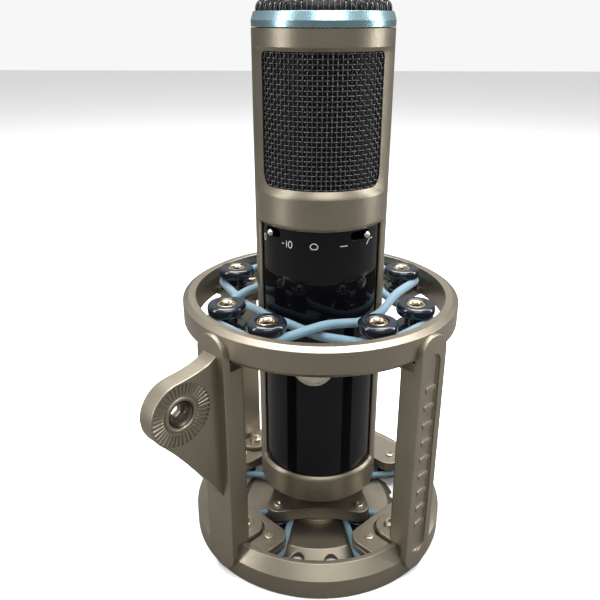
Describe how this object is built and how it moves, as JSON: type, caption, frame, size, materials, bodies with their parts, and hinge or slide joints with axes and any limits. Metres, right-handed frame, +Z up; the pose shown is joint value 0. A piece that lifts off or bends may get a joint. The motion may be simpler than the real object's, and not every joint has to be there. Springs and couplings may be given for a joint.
{
  "type": "condenser microphone in shock mount",
  "caption": "Side-address condenser microphone with woven grille and black barrel, held by elastic cord in a round cage shock mount with a toothed stand lug.",
  "frame": {"origin": "centre of the footprint's bounding box, on the surface that the lower ring stands on", "axes": "+Z up along the microphone's axis, -Y the way the front of the microphone faces, +X to its right as seen from the front"},
  "size_m": [0.1267, 0.1299, 0.24],
  "materials": {
    "bronze": "satin champagne-bronze metallic paint, fine grain",
    "dark_bronze": "satin dark bronze paint",
    "black_gloss": "high gloss black",
    "grille_mesh": "black woven wire mesh",
    "blue_anodised": "pale blue anodised, satin",
    "bobbin": "glossy blue-black moulded rubber",
    "elastic": "pale blue elastic cord",
    "chrome": "polished",
    "screw": "bright plated screw",
    "capsule_brass": "machined brass",
    "diaphragm": "gold-sputtered film",
    "board": "solder-masked laminate",
    "transformer": "laminated core in a black can",
    "insulator": "moulded insulator",
    "contact": "gold-plated contact"
  },
  "bodies": {
    "cage": {"upper_ring": "bronze", "lower_ring": "bronze", "post_front_left": "bronze", "post_front_right": "bronze", "post_back_left": "bronze", "upper_bobbin_front_left_a": "bobbin", "upper_bobbin_front_left_b": "bobbin", "upper_bobbin_front_right_a": "bobbin", "upper_bobbin_front_right_b": "bobbin", "upper_bobbin_back_left_a": "bobbin", "upper_bobbin_back_left_b": "bobbin", "upper_bobbin_back_right_a": "bobbin", "upper_bobbin_back_right_b": "bobbin", "lower_bobbin_front_left_a": "bobbin", "lower_bobbin_front_left_b": "bobbin", "lower_bobbin_front_right_a": "bobbin", "lower_bobbin_front_right_b": "bobbin", "lower_bobbin_back_left_a": "bobbin", "lower_bobbin_back_left_b": "bobbin", "lower_bobbin_back_right_a": "bobbin", "lower_bobbin_back_right_b": "bobbin", "upper_band_over": "elastic", "upper_band_under": "elastic", "lower_band_front_left": "elastic", "lower_band_front_right": "elastic", "lower_band_back_left": "elastic", "lower_band_back_right": "elastic", "foot_screw_front_left": "screw", "foot_screw_front_right": "screw", "foot_screw_back_left": "screw", "stand_insert": "screw"},
    "microphone": {"mic_housing": "bronze", "barrel": "black_gloss", "badge": "bronze", "trim_ring": "blue_anodised", "top_grille": "grille_mesh", "side_grille": "grille_mesh", "inner_mesh": "grille_mesh", "capsule_body": "capsule_brass", "front_diaphragm": "diaphragm", "rear_diaphragm": "diaphragm", "capsule_saddle": "dark_bronze", "capsule_deck": "dark_bronze", "circuit_board": "board", "output_transformer": "transformer", "threaded_base": "bronze", "connector_insert": "insulator", "connector_pin_1": "contact", "connector_pin_2": "contact", "connector_pin_3": "contact"},
    "cradle": {"cradle_plate": "dark_bronze", "clamp_washer": "dark_bronze", "corner_bobbin_front_left": "bobbin", "corner_bobbin_front_right": "bobbin", "corner_bobbin_back_left": "bobbin", "corner_bobbin_back_right": "bobbin"},
    "lock_nut": {"lock_nut": "bronze"},
    "pad_slider": {"pad_switch": "chrome"},
    "low_cut_slider": {"low_cut_switch": "chrome"}
  },
  "joints": [
    {"name": "suspension_bounce", "type": "slide", "parent": "cage", "child": "cradle", "axis": [0, 0, 1], "range_m": [-0.003, 0.003], "stiffness_N_per_m": 3000, "springref_m": 0.0032, "deforming": ["upper_band_over", "upper_band_under", "lower_band_front_left", "lower_band_front_right", "lower_band_back_left", "lower_band_back_right"]},
    {"name": "microphone_lift", "type": "slide", "parent": "cradle", "child": "microphone", "axis": [0, 0, 1], "range_m": [0, 0.13]},
    {"name": "lock_nut_turn", "type": "hinge", "parent": "cradle", "child": "lock_nut", "pos_m": [0.00336, 0.005, 0.003], "axis": [0, 0, 1], "continuous": true},
    {"name": "pad_slide", "type": "hinge", "parent": "microphone", "child": "pad_slider", "pos_m": [0.00336, 0.005, 0.1506], "axis": [0, 0, 1], "range_deg": [-5.5, 5.5]},
    {"name": "low_cut_slide", "type": "hinge", "parent": "microphone", "child": "low_cut_slider", "pos_m": [0.00336, 0.005, 0.1506], "axis": [0, 0, 1], "range_deg": [-11, 0.8]}
  ]
}
